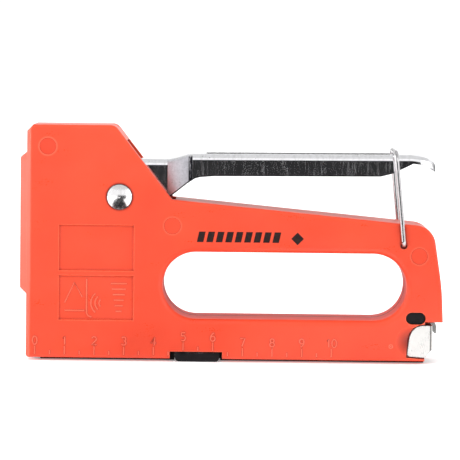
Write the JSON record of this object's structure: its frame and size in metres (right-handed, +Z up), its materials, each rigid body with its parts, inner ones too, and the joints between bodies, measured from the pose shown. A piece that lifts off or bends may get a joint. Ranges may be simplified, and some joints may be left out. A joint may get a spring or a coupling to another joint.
{
  "type": "staple gun",
  "caption": "Hand staple gun: two moulded half shells with a finger opening, a squeeze lever held down by a wire bail, a sprung hammer and blade, and a rear-loading magazine with pusher.",
  "frame": {"origin": "centre of the gun's footprint, on the flat underside of the magazine", "axes": "+Z up, nose (staple exit) towards -X, tail and pusher towards +X, left shell on the -Y side"},
  "size_m": [0.1432, 0.029, 0.0796],
  "materials": {
    "orange_shell": "semi-gloss moulded",
    "chromed_steel": "bright plated",
    "chromed_wire": "bright drawn wire",
    "bright_steel": "bright plated sheet",
    "zinc_steel": "zinc plated",
    "spring_steel": "oiled",
    "blade_steel": "hardened",
    "dark_steel": "sintered",
    "staple_wire": "galvanised",
    "black_steel": "black finish",
    "black_plastic": "moulded",
    "black_rubber": "matt"
  },
  "bodies": {
    "frame": {"left_shell": "orange_shell", "right_shell": "orange_shell", "shell_screws": "zinc_steel", "lever_rivet": "chromed_steel", "rivet_washer": "zinc_steel", "pivot_sleeve": "zinc_steel", "main_spring": "spring_steel", "spring_seat": "zinc_steel", "bumper": "black_rubber", "nose_plate": "zinc_steel", "magazine_channel": "black_steel", "staple_rail": "black_steel", "staple_strip": "staple_wire", "magazine_keeper": "black_steel", "magazine_latch": "black_plastic"},
    "lever": {"lever": "chromed_steel"},
    "hammer": {"hammer_block": "dark_steel", "driver_blade": "blade_steel", "blade_rivet": "zinc_steel"},
    "bail": {"lock_bail": "chromed_wire"},
    "pusher": {"pusher_rod": "zinc_steel", "pusher_spring": "spring_steel", "end_plug": "black_plastic", "end_cap": "bright_steel", "cap_rivet": "zinc_steel"},
    "follower": {"follower": "black_plastic"}
  },
  "joints": [
    {"name": "lever_squeeze", "type": "hinge", "parent": "frame", "child": "lever", "pos_m": [-0.0379, 0, 0.0555], "axis": [0, 1, 0], "range_deg": [0, 6.7], "stiffness_Nm_per_rad": 3, "springref_deg": -25.78},
    {"name": "hammer_lift", "type": "slide", "parent": "frame", "child": "hammer", "axis": [0, 0, 1], "range_m": [0, 0.0029], "deforming": ["main_spring"]},
    {"name": "bail_swing", "type": "hinge", "parent": "frame", "child": "bail", "pos_m": [0.058, 0, 0.0404], "axis": [0, 1, 0], "range_deg": [0, 140]},
    {"name": "pusher_pull", "type": "slide", "parent": "frame", "child": "pusher", "axis": [1, 0, 0], "range_m": [0, 0.11]},
    {"name": "follower_slide", "type": "slide", "parent": "pusher", "child": "follower", "axis": [1, 0, 0], "range_m": [0, 0.03], "stiffness_N_per_m": 60, "springref_m": -0.08, "deforming": ["pusher_spring"]}
  ],
  "couplings": [
    {"joint": "hammer_lift", "follows": "lever_squeeze", "m_per_rad": 0.02273}
  ]
}
